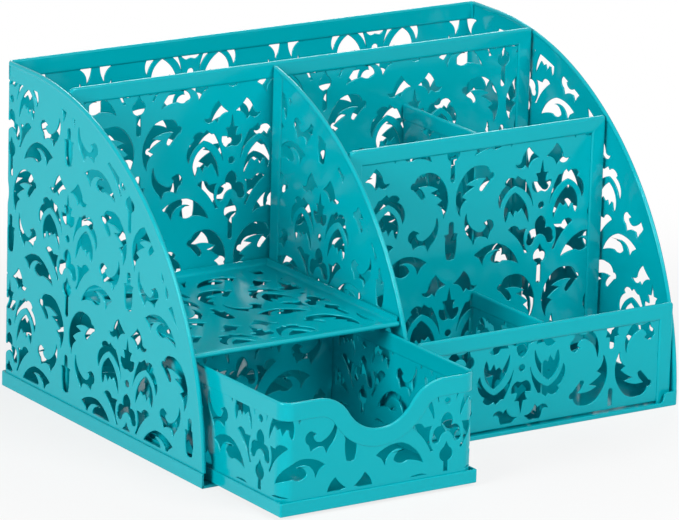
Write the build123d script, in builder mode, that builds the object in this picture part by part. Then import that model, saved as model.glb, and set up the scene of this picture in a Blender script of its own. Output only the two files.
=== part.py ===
"""Punched sheet-metal desk organizer with a letter slot, four sorter bins, a shelf and a drawer."""
from build123d import *
import os
from math import hypot

# Whole object, in millimetres: +X right, +Y to the back, +Z up, origin at the middle of the underside
width = 220.0
depth = 149.0
height = 131.0

# Sheet metal, and the folded rim that clips over a sheet's cut edge
sheet = 0.8
rim_wall = 0.5
fit = 0.1
rim_height = 6.5
bead_height = 2.2
seam = 0.3

# Base tray
base_plate = 1.0
base_lip = 5.8
front_lip = 1.7
front_ear = 6.5
base_corner = 1.8

# Back panel and side margins
wall_corner = 2.2
back_rim_height = 7.3
plain_margin = 7.3
low_margin = 1.2
foot_margin = 2.5

# Where the inner walls stand, measured from the front edge and from the left edge of the base
letter_from_front = 104.6
sorter_from_front = 52.6
front_panel_setback = 3.1
partition_from_left = 95.0

# How high the inner walls stand, and how far up the front panel's sheet ends between its rim's feet
letter_top = 129.5
sorter_top = 105.4
front_panel_top = 41.7
front_panel_foot = 2.3

# Shelf over the drawer bay
shelf_level = 47.6
shelf_setback = 10.2
shelf_flange = 3.0
shelf_rim_depth = 4.0
shelf_border = 6.5

# Drawer, drawn as far open as it stands
drawer_width = 87.4
drawer_depth = 98.0
drawer_top = 44.4
drawer_open = 46.0
drawer_from_left = 5.2
drawer_run = 0.3
tray_lip = 5.2
drawer_corner = 5.0
drawer_rim_height = 7.0
scoop_width = 55.0
scoop_drop = 15.2

# Damask repeat: one column to the next, the drop between neighbouring columns, and the stretch of the
# repeat across and up, which differs on the wrapped walls
column_pitch = 42.6
half_drop = 46.4
dot_radius = 1.4
plain = (1.0, 1.0)
side_stretch = (1.06, 0.97)
back_stretch = (1.023, 0.97)

# Where a heart of the repeat falls on each sheet: across from the origin, then up
left_heart = (-18.6, 25.6)
right_heart = (-56.6, 27.0)
back_heart = (-25.9, 117.0)
letter_heart = (-33.4, 92.2)
sorter_heart = (35.4, 26.0)
front_heart = (36.2, 25.1)
partition_heart = (-6.1, 67.4)
rear_divider_heart = (4.0, 80.0)
front_divider_heart = (-45.0, 20.0)
shelf_heart = (-69.0, -58.5)
drawer_front_heart = (29.8, 35.0)
drawer_left_heart = (-104.2, 35.0)
drawer_right_heart = (-44.6, 35.0)
drawer_back_heart = (-61.1, 35.0)

# Values worked out from the sizes above
rim_over = rim_wall + fit
rim_thick = sheet + 2 * rim_over
slot = sheet + 2 * fit
left_edge = -width / 2
right_edge = width / 2
front_edge = -depth / 2
back_edge = depth / 2
wall_inset = sheet + fit
side_x = width / 2 - wall_inset - sheet / 2
back_y = back_edge - wall_inset - sheet / 2
arc_radius = height - base_plate
arc_centre_y = front_edge + arc_radius
side_back = back_edge - wall_inset - wall_corner
inner_half = width / 2 - wall_inset - sheet
cross_end = inner_half - rim_over - seam
letter_y = front_edge + letter_from_front
sorter_y = front_edge + sorter_from_front
front_panel_y = front_edge + front_panel_setback
partition_x = left_edge + partition_from_left
bin_left = partition_x + rim_thick / 2 + seam
bin_divider_x = (partition_x + side_x) / 2
back_flat_half = width / 2 - wall_inset - wall_corner
bend_radius = wall_corner - sheet / 2
drawer_left = left_edge + drawer_from_left
drawer_right = drawer_left + drawer_width
drawer_middle_x = (drawer_left + drawer_right) / 2
drawer_front_y = front_edge - drawer_open
drawer_back_y = drawer_front_y + drawer_depth
drawer_foot = base_plate + drawer_run
drawer_floor = drawer_foot + sheet
drawer_window_foot = drawer_foot + tray_lip + low_margin
drawer_face_y = drawer_front_y + wall_inset + sheet / 2
drawer_tail_y = drawer_back_y - wall_inset - sheet / 2
drawer_left_x = drawer_left + wall_inset + sheet / 2
drawer_right_x = drawer_right - wall_inset - sheet / 2
drawer_flat_half = drawer_width / 2 - wall_inset - drawer_corner

# Damask cut-outs, measured from the round dot at the heart of the repeat. An outline starts at its
# first pair; after that a pair is a straight run, and four numbers are an arc through two to two.
bell = [(6.5, 24.3), (9.0, 21.6, 10.0, 18.6), (11.2, 17.7, 12.9, 17.9), (11.3, 16.2, 8.2, 17.2),
        (6.7, 15.7), (4.9, 18.6, 1.7, 19.6), (4.4, 21.8, 6.5, 24.3)]
flame = [(19.6, 0.9), (20.2, 6.0, 17.0, 9.7), (17.8, 10.9), (15.7, 12.7, 12.8, 11.9), (11.8, 13.2),
         (9.3, 11.4), (8.1, 11.4), (5.6, 6.5, 3.9, 0.0), (7.4, 6.3, 12.7, 9.3), (16.9, 6.4, 19.6, 0.9)]
tulip = [(12.8, 6.7), (8.2, 2.4, 5.9, -6.2), (7.4, -3.0, 9.2, -0.1), (10.8, -1.6), (12.2, -0.7),
         (13.2, -3.2), (14.6, -0.9), (15.6, -1.2), (16.0, -3.4, 16.8, -4.9), (17.2, 1.6, 12.8, 6.7)]
club = [(15.4, -8.3), (13.2, -7.0, 10.2, -9.0), (6.6, -8.7), (7.7, -12.6, 5.9, -18.5), (6.9, -18.8),
        (9.6, -14.0, 15.4, -8.3)]
wave = [(10.2, -22.3), (14.4, -16.2, 20.0, -13.1), (26.0, -13.6, 31.3, -16.4), (28.9, -17.9),
        (27.2, -20.9), (25.6, -17.0, 18.8, -16.0), (22.0, -16.8, 23.4, -19.2), (20.8, -20.9, 17.6, -20.2),
        (13.8, -20.8, 10.2, -22.3)]
leaf = [(0, 18.6), (0.9, 13.3), (3.0, 13.1), (2.0, 11.2, 1.9, 9.7), (4.4, 10.0), (4.0, 6.8, 1.9, 5.3),
        (0, 5.9)]
fleur = [(0, -4.3), (2.2, -6.2, 2.3, -9.5), (5.6, -10.7, 5.9, -13.0), (4.6, -15.9, 3.2, -14.8),
         (1.8, -12.5, 0, -11.7)]
spade = [(0, -15.7), (1.1, -17.9), (2.8, -20.0, 0.9, -23.4), (0.9, -31.2), (0, -31.9)]
scroll = [(4.0, 0.3), (1.9, 8.2, 5.4, 16.4), (9.2, 19.3, 13.6, 19.5), (16.6, 18.4, 17.7, 16.2),
          (19.6, 15.2), (16.9, 12.4), (14.4, 9.9), (13.2, 10.6), (14.2, 12.8, 15.9, 14.3),
          (11.0, 14.4, 6.6, 12.6), (10.4, 11.6), (7.6, 10.2, 4.6, 7.9), (6.9, 6.6), (4.8, 4.6, 4.0, 0.3)]
hook = [(7.0, 1.2), (6.6, -5.0, 9.6, -9.8), (10.8, -12.0), (11.9, -9.4), (14.8, -9.2, 17.6, -10.5),
        (18.5, -7.8), (20.0, -4.6, 17.5, -2.7), (15.2, -4.0), (16.5, -4.9), (15.6, -6.7, 12.4, -7.1),
        (8.9, -4.4, 7.0, 1.2)]
torch = [(0, -1.4), (1.0, -2.8), (1.0, -6.2), (3.1, -6.5), (2.5, -8.0), (2.6, -11.0, 1.7, -16.4),
         (0, -16.9)]


def trace(outline, stretch):
    """Draw an outline's straight runs and arcs into the open line, stretched across and up."""
    here = (outline[0][0] * stretch[0], outline[0][1] * stretch[1])
    for step in outline[1:]:
        end = (step[-2] * stretch[0], step[-1] * stretch[1])
        if len(step) == 2:
            Line(here, end)
        else:
            ThreePointArc(here, (step[0] * stretch[0], step[1] * stretch[1]), end)
        here = end


def motif_unit(pairs, centred, dot, stretch):
    """One heart of the repeat: mirrored pairs, shapes on the axis and, where it has one, the dot."""
    with BuildSketch() as unit:
        for outline in pairs:
            with BuildLine():
                trace(outline, stretch)
            make_face()
        mirror(about=Plane.YZ)
        for outline in centred:
            with BuildLine():
                trace(outline, stretch)
                mirror(about=Plane.YZ)
            make_face()
        if dot:
            Circle(dot)
    return unit.sketch


def damask(window, heart, turned, stretch):
    """Cut-outs of the half-drop repeat around one heart, kept to a window of the sheet."""
    box = window.bounding_box()
    pitch = column_pitch * stretch[0]
    drop = half_drop * stretch[1]
    reach = int(max(width, height) / min(pitch, drop)) + 2
    hearts = {0: [], 1: []}
    for column in range(-reach, reach + 1):
        for row in range(-reach, reach + 1):
            u = heart[0] + column * pitch
            v = heart[1] + row * drop
            beside = box.min.X - pitch < u < box.max.X + pitch
            if beside and box.min.Y - drop < v < box.max.Y + drop:
                hearts[(column + row) % 2].append((u, v))
    leaf_unit = motif_unit([bell, flame, tulip, club, wave], [leaf, fleur, spade], dot_radius, stretch)
    scroll_unit = motif_unit([scroll, hook], [torch], 0, stretch)
    turn = 180 if turned else 0
    with BuildSketch() as holes:
        with Locations(*hearts[0]):
            add(leaf_unit, rotation=turn)
        with Locations(*hearts[1]):
            add(scroll_unit, rotation=turn)
        add(window, mode=Mode.INTERSECT)
    return holes.sketch


def rectangle(low_u, low_v, high_u, high_v):
    """Flat rectangle between two corners."""
    with BuildSketch() as face:
        with Locations(((low_u + high_u) / 2, (low_v + high_v) / 2)):
            Rectangle(high_u - low_u, high_v - low_v)
    return face.sketch


def punched_sheet(plane, outline, window, heart, turned=False, stretch=plain):
    """Flat sheet about a plane, with the damask cut through its window."""
    with BuildPart() as piece:
        with BuildSketch(plane.offset(-sheet / 2)):
            add(outline)
            add(damask(window, heart, turned, stretch), mode=Mode.SUBTRACT)
        extrude(amount=sheet)
    return piece.part


def rim_strip(plane, band, core):
    """Folded strip about a plane: a band that is hollow where the sheet's core runs into it."""
    with BuildPart() as piece:
        with BuildSketch(plane.offset(-rim_thick / 2)):
            add(band)
        extrude(amount=rim_thick)
        with BuildSketch(plane.offset(-slot / 2)):
            add(core)
        extrude(amount=slot, mode=Mode.SUBTRACT)
    return piece.part


def save(part, label):
    """Name a piece and write it out."""
    part.label = label
    export_step(part, f"parts/{label}.step")
    print(label, "solids", len(part.solids()), "volume", round(part.volume, 1))


def curved_profile(inset, back, foot):
    """Side profile: a quarter-disc front, set in from the curved edge, squared off behind and below."""
    top = base_plate + arc_radius - inset
    with BuildSketch() as face:
        with Locations((arc_centre_y, base_plate)):
            Circle(arc_radius - inset)
        if back > arc_centre_y:
            add(rectangle(arc_centre_y, foot, back, top))
        add(rectangle(front_edge, foot, back, top), mode=Mode.INTERSECT)
    return face.sketch


def without(face, cut):
    """One flat face less another."""
    with BuildSketch() as left_over:
        add(face)
        add(cut, mode=Mode.SUBTRACT)
    return left_over.sketch


def framed_panel(plane, low_u, high_u, top, heart, end_rim=rim_height, turned=False, foot=base_plate):
    """Upright punched panel on the base, and the folded rim over its top and, if it has them, its ends."""
    end_over = rim_over if end_rim else 0
    end_web = rim_wall if end_rim else 0
    outline = rectangle(low_u + end_over, foot, high_u - end_over, top - rim_over)
    margin = max(end_rim, foot_margin)
    window = rectangle(low_u + margin, base_plate + foot_margin, high_u - margin, top - rim_height)
    inside = rectangle(low_u + end_rim, base_plate, high_u - end_rim, top - rim_height)
    band = without(rectangle(low_u, base_plate, high_u, top), inside)
    core = rectangle(low_u + end_web, base_plate, high_u - end_web, top - rim_wall)
    return punched_sheet(plane, outline, window, heart, turned), rim_strip(plane, band, core)


def corner_bends(middle_x, half_span, flat_y, radius, thick, bend):
    """Plan of the quarter bends at both ends of a strip along X, turned towards the sign of bend."""
    bend_y = flat_y + bend * radius
    reach = half_span + radius + thick
    far_y = flat_y - bend * thick
    with BuildSketch() as plan:
        with Locations((middle_x - half_span, bend_y), (middle_x + half_span, bend_y)):
            Circle(radius + thick / 2)
            Circle(radius - thick / 2, mode=Mode.SUBTRACT)
        add(rectangle(middle_x - reach, min(far_y, bend_y), middle_x + reach, max(far_y, bend_y)),
            mode=Mode.INTERSECT)
        add(rectangle(middle_x - half_span, flat_y - reach, middle_x + half_span, flat_y + reach),
            mode=Mode.SUBTRACT)
    return plan.sketch


def scooped_face(low_v, inset):
    """Flat drawer front under its top edge, with the finger scoop, set in from that edge."""
    half = scoop_width / 2
    bow = (half**2 + scoop_drop**2) / (4 * scoop_drop)
    shoulder_v = drawer_top - bow
    bowl_v = drawer_top - scoop_drop + bow
    span = hypot(half, bowl_v - shoulder_v)
    lean_u = half / span
    lean_v = (bowl_v - shoulder_v) / span
    half_lean = hypot(lean_u, 1 + lean_v)
    near = bow - inset
    turn = (half - near * lean_u, shoulder_v + near * lean_v)
    brow = (half - near * lean_u / half_lean, shoulder_v + near * (1 + lean_v) / half_lean)
    lip = (half, drawer_top - inset)
    with BuildSketch() as face:
        with BuildLine():
            Polyline(lip, (drawer_flat_half, drawer_top - inset), (drawer_flat_half, low_v), (0, low_v))
            ThreePointArc(lip, brow, turn)
            ThreePointArc(turn, (0, bowl_v - bow - inset), (-turn[0], turn[1]))
            ThreePointArc((-turn[0], turn[1]), (-brow[0], brow[1]), (-lip[0], lip[1]))
            Polyline((-lip[0], lip[1]), (-drawer_flat_half, lip[1]), (-drawer_flat_half, low_v), (0, low_v))
        make_face()
    return face.sketch


os.makedirs("parts", exist_ok=True)

# Base tray: a floor with a lip outside the walls. The lip is low at the right of the front, under the
# front panel, rises to an ear at the corner, and stops at the drawer bay.
with BuildPart() as base_tray:
    with BuildSketch() as floor:
        Rectangle(width, depth)
        corners = floor.vertices().filter_by(lambda v: v.Y > 0 or v.X > 0)
        fillet(corners, radius=base_corner)
    extrude(amount=base_lip)
    with BuildSketch(Plane.XY.offset(base_plate)):
        add(floor.sketch)
        offset(amount=-sheet, mode=Mode.REPLACE)
    extrude(amount=base_lip, mode=Mode.SUBTRACT)
    with BuildSketch(Plane.XY.offset(base_plate)):
        add(rectangle(left_edge + sheet, front_edge, bin_left, front_edge + sheet))
    extrude(amount=base_lip, mode=Mode.SUBTRACT)
    with BuildSketch(Plane.XY.offset(front_lip)):
        add(rectangle(bin_left, front_edge, right_edge - front_ear, front_edge + sheet))
    extrude(amount=base_lip, mode=Mode.SUBTRACT)
save(base_tray.part, "base_tray")

# Left and right sides, each a punched sheet with a rolled bead along its curved edge
for name, sign, heart in (("left_side", -1, left_heart), ("right_side", 1, right_heart)):
    side_plane = Plane.YZ.offset(sign * side_x)
    bead_foot = base_lip + fit
    with BuildSketch() as outline:
        add(curved_profile(rim_over, side_back, bead_foot))
        add(rectangle(front_edge + base_corner, base_plate, side_back, bead_foot))
    window = curved_profile(plain_margin, side_back - low_margin, base_lip + low_margin)
    save(punched_sheet(side_plane, outline.sketch, window, heart, stretch=side_stretch), name)
    inside = curved_profile(bead_height, side_back, bead_foot)
    band = without(curved_profile(0, side_back, bead_foot), inside)
    core = curved_profile(rim_wall, side_back, bead_foot)
    save(rim_strip(side_plane, band, core), f"{name}_rim")

# Back panel, rolled forward at both ends to meet the sides, with a deep folded rim along its top
back_flat = rectangle(-back_flat_half, base_plate, back_flat_half, height - rim_over)
window = rectangle(-back_flat_half, base_lip + low_margin, back_flat_half, height - back_rim_height)
with BuildPart() as back_panel:
    add(punched_sheet(Plane.XZ.offset(-back_y), back_flat, window, back_heart, stretch=back_stretch))
    with BuildSketch(Plane.XY.offset(base_plate)):
        add(corner_bends(0, back_flat_half, back_y, bend_radius, sheet, -1))
    extrude(amount=height - rim_over - base_plate)
save(back_panel.part, "back_panel")

with BuildPart() as back_rim:
    with BuildSketch(Plane.XY.offset(height - back_rim_height)):
        add(corner_bends(0, back_flat_half, back_y, bend_radius, rim_thick, -1))
        add(rectangle(-back_flat_half, back_y - rim_thick / 2, back_flat_half, back_y + rim_thick / 2))
    extrude(amount=back_rim_height)
    with BuildSketch(Plane.XY.offset(height - back_rim_height)):
        add(corner_bends(0, back_flat_half, back_y, bend_radius, slot, -1))
        add(rectangle(-back_flat_half, back_y - slot / 2, back_flat_half, back_y + slot / 2))
    extrude(amount=back_rim_height - rim_wall, mode=Mode.SUBTRACT)
save(back_rim.part, "back_rim")

# Letter divider across the whole width, then the tall and the low panel of the right-hand bins
letter_plane = Plane.XZ.offset(-letter_y)
letter, letter_rim = framed_panel(letter_plane, -cross_end, cross_end, letter_top, letter_heart)
save(letter, "letter_divider")
save(letter_rim, "letter_divider_rim")

sorter_plane = Plane.XZ.offset(-sorter_y)
sorter, sorter_rim = framed_panel(sorter_plane, bin_left, cross_end, sorter_top, sorter_heart)
save(sorter, "sorter_panel")
save(sorter_rim, "sorter_panel_rim")

front_plane = Plane.XZ.offset(-front_panel_y)
front_run = (front_plane, bin_left, cross_end, front_panel_top)
front, front_rim = framed_panel(*front_run, front_heart, turned=True, foot=front_panel_foot)
save(front, "front_panel")
save(front_rim, "front_panel_rim")

# Short dividers that part the right-hand bins, rimmed along the top alone
divider_plane = Plane.YZ.offset(bin_divider_x)
rear_span = (sorter_y + rim_thick / 2 + seam, letter_y - rim_thick / 2 - seam)
rear, rear_rim = framed_panel(divider_plane, *rear_span, sorter_top, rear_divider_heart, end_rim=0)
save(rear, "rear_bin_divider")
save(rear_rim, "rear_bin_divider_rim")

fore_span = (front_panel_y + rim_thick / 2 + seam, sorter_y - rim_thick / 2 - seam)
fore, fore_rim = framed_panel(divider_plane, *fore_span, front_panel_top, front_divider_heart, end_rim=0)
save(fore, "front_bin_divider")
save(fore_rim, "front_bin_divider_rim")

# Partition beside the drawer bay: the curve of the sides again, with a rim up its rear edge
partition_plane = Plane.YZ.offset(partition_x)
partition_back = letter_y - rim_thick / 2 - seam
outline = curved_profile(rim_over, partition_back - rim_over, base_plate)
window = curved_profile(plain_margin, partition_back - rim_height, base_plate + foot_margin)
save(punched_sheet(partition_plane, outline, window, partition_heart), "partition")
inside = curved_profile(bead_height, partition_back - rim_height, base_plate)
band = without(curved_profile(0, partition_back, base_plate), inside)
core = curved_profile(rim_wall, partition_back - rim_wall, base_plate)
save(rim_strip(partition_plane, band, core), "partition_rim")

# Shelf over the drawer bay, with flanges turned up along its sides and back and a folded rim at the front
shelf_left = -cross_end
shelf_right = partition_x - rim_thick / 2 - seam
shelf_front = front_edge + shelf_setback
flange_front = shelf_front + shelf_rim_depth + seam
shelf_plane = Plane.XY.offset(shelf_level + sheet / 2)
with BuildPart() as shelf:
    outline = rectangle(shelf_left, shelf_front + rim_over, shelf_right, partition_back)
    window = rectangle(shelf_left + shelf_border, shelf_front + shelf_border,
                       shelf_right - shelf_border, partition_back - shelf_border)
    add(punched_sheet(shelf_plane, outline, window, shelf_heart))
    with BuildSketch(Plane.XY.offset(shelf_level + sheet)):
        add(rectangle(shelf_left, flange_front, shelf_left + sheet, partition_back))
        add(rectangle(shelf_right - sheet, flange_front, shelf_right, partition_back))
        add(rectangle(shelf_left, partition_back - sheet, shelf_right, partition_back))
    extrude(amount=shelf_flange)
save(shelf.part, "shelf")
band = rectangle(shelf_left, shelf_front, shelf_right, shelf_front + shelf_rim_depth)
core = rectangle(shelf_left, shelf_front + rim_wall, shelf_right, shelf_front + shelf_rim_depth)
save(rim_strip(shelf_plane, band, core), "shelf_rim")

# Drawer: a square tray that carries a front rolled round at its corners, two sides and a back
with BuildPart() as drawer_tray:
    with BuildSketch(Plane.XY.offset(drawer_foot)):
        add(rectangle(drawer_left, drawer_front_y, drawer_right, drawer_back_y))
    extrude(amount=tray_lip)
    with BuildSketch(Plane.XY.offset(drawer_floor)):
        add(rectangle(drawer_left + sheet, drawer_front_y + sheet,
                      drawer_right - sheet, drawer_back_y - sheet))
    extrude(amount=tray_lip, mode=Mode.SUBTRACT)
save(drawer_tray.part, "drawer_tray")

fold_radius = drawer_corner - sheet / 2
face_plane = Plane.XZ.offset(-drawer_face_y).shift_origin((drawer_middle_x, drawer_face_y, 0))
face_run = (drawer_middle_x, drawer_flat_half, drawer_face_y, fold_radius)
window = scooped_face(drawer_window_foot, drawer_rim_height)
with BuildPart() as drawer_front:
    add(punched_sheet(face_plane, scooped_face(drawer_floor, rim_over), window, drawer_front_heart))
    with BuildSketch(Plane.XY.offset(drawer_floor)):
        add(corner_bends(*face_run, sheet, 1))
    extrude(amount=drawer_top - rim_over - drawer_floor)
save(drawer_front.part, "drawer_front")

band = without(scooped_face(drawer_floor, 0), scooped_face(drawer_floor, drawer_rim_height))
with BuildPart() as drawer_front_rim:
    add(rim_strip(face_plane, band, scooped_face(drawer_floor, rim_wall)))
    with BuildSketch(Plane.XY.offset(drawer_top - drawer_rim_height)):
        add(corner_bends(*face_run, rim_thick, 1))
    extrude(amount=drawer_rim_height)
    with BuildSketch(Plane.XY.offset(drawer_top - drawer_rim_height)):
        add(corner_bends(*face_run, slot, 1))
    extrude(amount=drawer_rim_height - rim_wall, mode=Mode.SUBTRACT)
save(drawer_front_rim.part, "drawer_front_rim")


def drawer_wall(plane, low_u, high_u, heart):
    """Straight drawer wall with a folded rim along its top."""
    rim_foot = drawer_top - drawer_rim_height
    outline = rectangle(low_u, drawer_floor, high_u, drawer_top - rim_over)
    window = rectangle(low_u + foot_margin, drawer_window_foot, high_u - foot_margin, rim_foot)
    band = rectangle(low_u, rim_foot, high_u, drawer_top)
    core = rectangle(low_u, rim_foot, high_u, drawer_top - rim_wall)
    return punched_sheet(plane, outline, window, heart), rim_strip(plane, band, core)


wall_start = drawer_face_y + fold_radius
wall_end = drawer_back_y - wall_inset
drawer_sides = (("left", drawer_left_x, drawer_left_heart), ("right", drawer_right_x, drawer_right_heart))
for name, wall_x, heart in drawer_sides:
    wall, wall_rim = drawer_wall(Plane.YZ.offset(wall_x), wall_start, wall_end, heart)
    save(wall, f"drawer_{name}_side")
    save(wall_rim, f"drawer_{name}_rim")

tail_left = drawer_left_x + rim_thick / 2 + fit
tail_right = drawer_right_x - rim_thick / 2 - fit
tail_plane = Plane.XZ.offset(-drawer_tail_y)
tail, tail_rim = drawer_wall(tail_plane, tail_left, tail_right, drawer_back_heart)
save(tail, "drawer_back")
save(tail_rim, "drawer_back_rim")
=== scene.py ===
# %% [markdown]
# # A punched sheet-metal desk organizer
#
# The organizer is made of thin steel sheet, punched with a damask pattern, bent, edged with folded hems
# and sprayed with one turquoise powder coat. The solids of the part are loaded first, as a frame that
# nothing moves. The cells after that give each sheet its real finish: punched holes with softened lips,
# round bends, rolled hems.

# %% Load the frame
import math
from contextlib import contextmanager

import bmesh
import bpy
from mathutils import Matrix, Vector


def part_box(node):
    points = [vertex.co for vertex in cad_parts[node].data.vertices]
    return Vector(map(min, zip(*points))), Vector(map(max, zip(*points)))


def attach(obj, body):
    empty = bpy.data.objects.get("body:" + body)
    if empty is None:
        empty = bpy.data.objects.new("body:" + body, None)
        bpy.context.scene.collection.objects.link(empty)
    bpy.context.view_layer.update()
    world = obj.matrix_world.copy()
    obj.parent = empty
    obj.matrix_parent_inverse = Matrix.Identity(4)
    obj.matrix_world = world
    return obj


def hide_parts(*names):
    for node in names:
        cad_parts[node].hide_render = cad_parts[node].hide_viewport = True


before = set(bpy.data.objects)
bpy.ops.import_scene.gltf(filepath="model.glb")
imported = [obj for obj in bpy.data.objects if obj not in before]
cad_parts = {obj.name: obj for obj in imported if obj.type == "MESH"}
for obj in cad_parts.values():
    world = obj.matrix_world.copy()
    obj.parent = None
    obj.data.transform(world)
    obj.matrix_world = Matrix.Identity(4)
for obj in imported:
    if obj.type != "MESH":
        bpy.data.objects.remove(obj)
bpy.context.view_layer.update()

MM = 0.001

# %% [markdown]
# ## Sizes read from the frame
#
# Each piece takes its place from the boxes of the CAD pieces, in millimetres, so the dressed pieces follow
# the solids. Only the places of the pattern are given. A sheet is 0.8 mm thick. A hem is a strip
# folded over a sheet's edge, 2 mm thick in all, and the sheet's edge stays a little inside it.

# %% Sizes
SHEET = 0.8
HEM_THICK = 2.0
HEM_HEIGHT = 6.5
BACK_HEM_HEIGHT = 7.3
DRAWER_HEM_HEIGHT = 7.0
PLAIN_MARGIN = 7.3
LOW_MARGIN = 1.2
FOOT_MARGIN = 2.5
SHEET_INSET = 0.6
BASE_PLATE = 1.0
BASE_CORNER = 1.8


def box_mm(node):
    """Lowest and highest corner of a CAD piece, in millimetres."""
    low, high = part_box(node)
    return [v / MM for v in low], [v / MM for v in high]


base_low, base_high = box_mm("base_tray")
side_low, side_high = box_mm("right_side")
HEIGHT = box_mm("right_side_rim")[1][2]
BASE_LIP = base_high[2]
FRONT = base_low[1]
SIDE_X = (side_low[0] + side_high[0]) / 2
SIDE_BACK = side_high[1]
BACK_Y = box_mm("back_panel")[1][1] - SHEET / 2
BACK_HALF = SIDE_X - (BACK_Y - SIDE_BACK)
ARC_RADIUS = HEIGHT - BASE_PLATE
ARC_CENTRE = FRONT + ARC_RADIUS
print("height", round(HEIGHT, 2), "side at", round(SIDE_X, 2), "back at", round(BACK_Y, 2))

# %% [markdown]
# ## Small helpers for nodes
#
# Node maths reads best as plain sums. A tiny class wraps a socket, so that `1 - mask` adds a Math node,
# and one function makes any other node from its type, its settings and what goes into its sockets.


# %% Node helpers
class Socket:
    """An output socket that can be added, subtracted, multiplied and divided."""

    def __init__(self, tree, out):
        self.tree, self.out = tree, out

    def math(self, operation, a, b):
        return make(self.tree, "ShaderNodeMath", {"operation": operation}, {0: a, 1: b})

    def __add__(self, other):
        return self.math("ADD", self, other)

    def __sub__(self, other):
        return self.math("SUBTRACT", self, other)

    def __rsub__(self, other):
        return self.math("SUBTRACT", other, self)

    def __mul__(self, other):
        return self.math("MULTIPLY", self, other)

    def __truediv__(self, other):
        return self.math("DIVIDE", self, other)

    def __rtruediv__(self, other):
        return self.math("DIVIDE", other, self)

    def rounded(self):
        return self.math("ROUND", self, 0)

    def modulo(self, other):
        return self.math("FLOORED_MODULO", self, other)

    __radd__, __rmul__ = __add__, __mul__


def make(tree, kind, settings=None, sockets=None, output=0):
    """Add a node: settings first, then the value, link or list of links of each socket."""
    node = tree.nodes.new(kind)
    for name, value in (settings or {}).items():
        setattr(node, name, value)
    for key, value in (sockets or {}).items():
        for entry in value if isinstance(value, list) else [value]:
            if isinstance(entry, Socket):
                tree.links.new(entry.out, node.inputs[key])
            else:
                node.inputs[key].default_value = entry
    return Socket(tree, node.outputs[output]) if node.outputs else node


def empty_tree(holder):
    """The node tree of a material or a world, emptied."""
    holder.use_nodes = True
    holder.node_tree.nodes.clear()
    return holder.node_tree


# %% [markdown]
# ## Powder coat
#
# Powder coat is baked-on paint: one even, glossy turquoise with a very fine orange-peel skin. A
# Principled shader with low roughness gives it, and a tint colours its reflections too. The skin is a
# faint noise that only tilts the normal.

# %% Turquoise powder coat
TURQUOISE = (0.0, 0.43, 0.50, 1.0)
SHEEN_TINT = (0.35, 0.9, 0.95, 1.0)


def powder_coat():
    """Glossy turquoise paint with a fine orange-peel skin."""
    material = bpy.data.materials.new("turquoise_powder_coat")
    tree = empty_tree(material)
    place = make(tree, "ShaderNodeTexCoord", output="Object")
    peel = make(tree, "ShaderNodeTexNoise", None, {"Vector": place, "Scale": 1400.0, "Detail": 1.0})
    skin = make(tree, "ShaderNodeBump", None, {"Strength": 0.04, "Distance": 0.0002, "Height": peel})
    shader = make(tree, "ShaderNodeBsdfPrincipled", None, {
        "Base Color": TURQUOISE, "Roughness": 0.13, "Specular IOR Level": 0.4, "Specular Tint": SHEEN_TINT,
        "Normal": skin})
    make(tree, "ShaderNodeOutputMaterial", None, {"Surface": shader})
    return material


COAT = powder_coat()
print("coat:", COAT.name)

# %% [markdown]
# ## The damask punches
#
# The pattern is one heart of leaves and one pair of scrolls, repeated with a half drop. Each cut-out is
# drawn once as a short outline: pairs are straight runs, and four numbers are an arc through a point to a
# point. Left halves are mirror images. A punch is the outline made solid, a little wider where it leaves
# the sheet on both faces, so that the hole gets softened lips, as paint leaves them.

# %% Cut-out outlines
bell = [(6.5, 24.3), (9.0, 21.6, 10.0, 18.6), (11.2, 17.7, 12.9, 17.9), (11.3, 16.2, 8.2, 17.2),
        (6.7, 15.7), (4.9, 18.6, 1.7, 19.6), (4.4, 21.8, 6.5, 24.3)]
flame = [(19.6, 0.9), (20.2, 6.0, 17.0, 9.7), (17.8, 10.9), (15.7, 12.7, 12.8, 11.9), (11.8, 13.2),
         (9.3, 11.4), (8.1, 11.4), (5.6, 6.5, 3.9, 0.0), (7.4, 6.3, 12.7, 9.3), (16.9, 6.4, 19.6, 0.9)]
tulip = [(12.8, 6.7), (8.2, 2.4, 5.9, -6.2), (7.4, -3.0, 9.2, -0.1), (10.8, -1.6), (12.2, -0.7),
         (13.2, -3.2), (14.6, -0.9), (15.6, -1.2), (16.0, -3.4, 16.8, -4.9), (17.2, 1.6, 12.8, 6.7)]
club = [(15.4, -8.3), (13.2, -7.0, 10.2, -9.0), (6.6, -8.7), (7.7, -12.6, 5.9, -18.5), (6.9, -18.8),
        (9.6, -14.0, 15.4, -8.3)]
wave = [(10.2, -22.3), (14.4, -16.2, 20.0, -13.1), (26.0, -13.6, 31.3, -16.4), (28.9, -17.9),
        (27.2, -20.9), (25.6, -17.0, 18.8, -16.0), (22.0, -16.8, 23.4, -19.2), (20.8, -20.9, 17.6, -20.2),
        (13.8, -20.8, 10.2, -22.3)]
leaf = [(0, 18.6), (0.9, 13.3), (3.0, 13.1), (2.0, 11.2, 1.9, 9.7), (4.4, 10.0), (4.0, 6.8, 1.9, 5.3),
        (0, 5.9)]
fleur = [(0, -4.3), (2.2, -6.2, 2.3, -9.5), (5.6, -10.7, 5.9, -13.0), (4.6, -15.9, 3.2, -14.8),
         (1.8, -12.5, 0, -11.7)]
spade = [(0, -15.7), (1.1, -17.9), (2.8, -20.0, 0.9, -23.4), (1.0, -30.9), (0.7, -31.6, 0, -31.9)]
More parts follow.
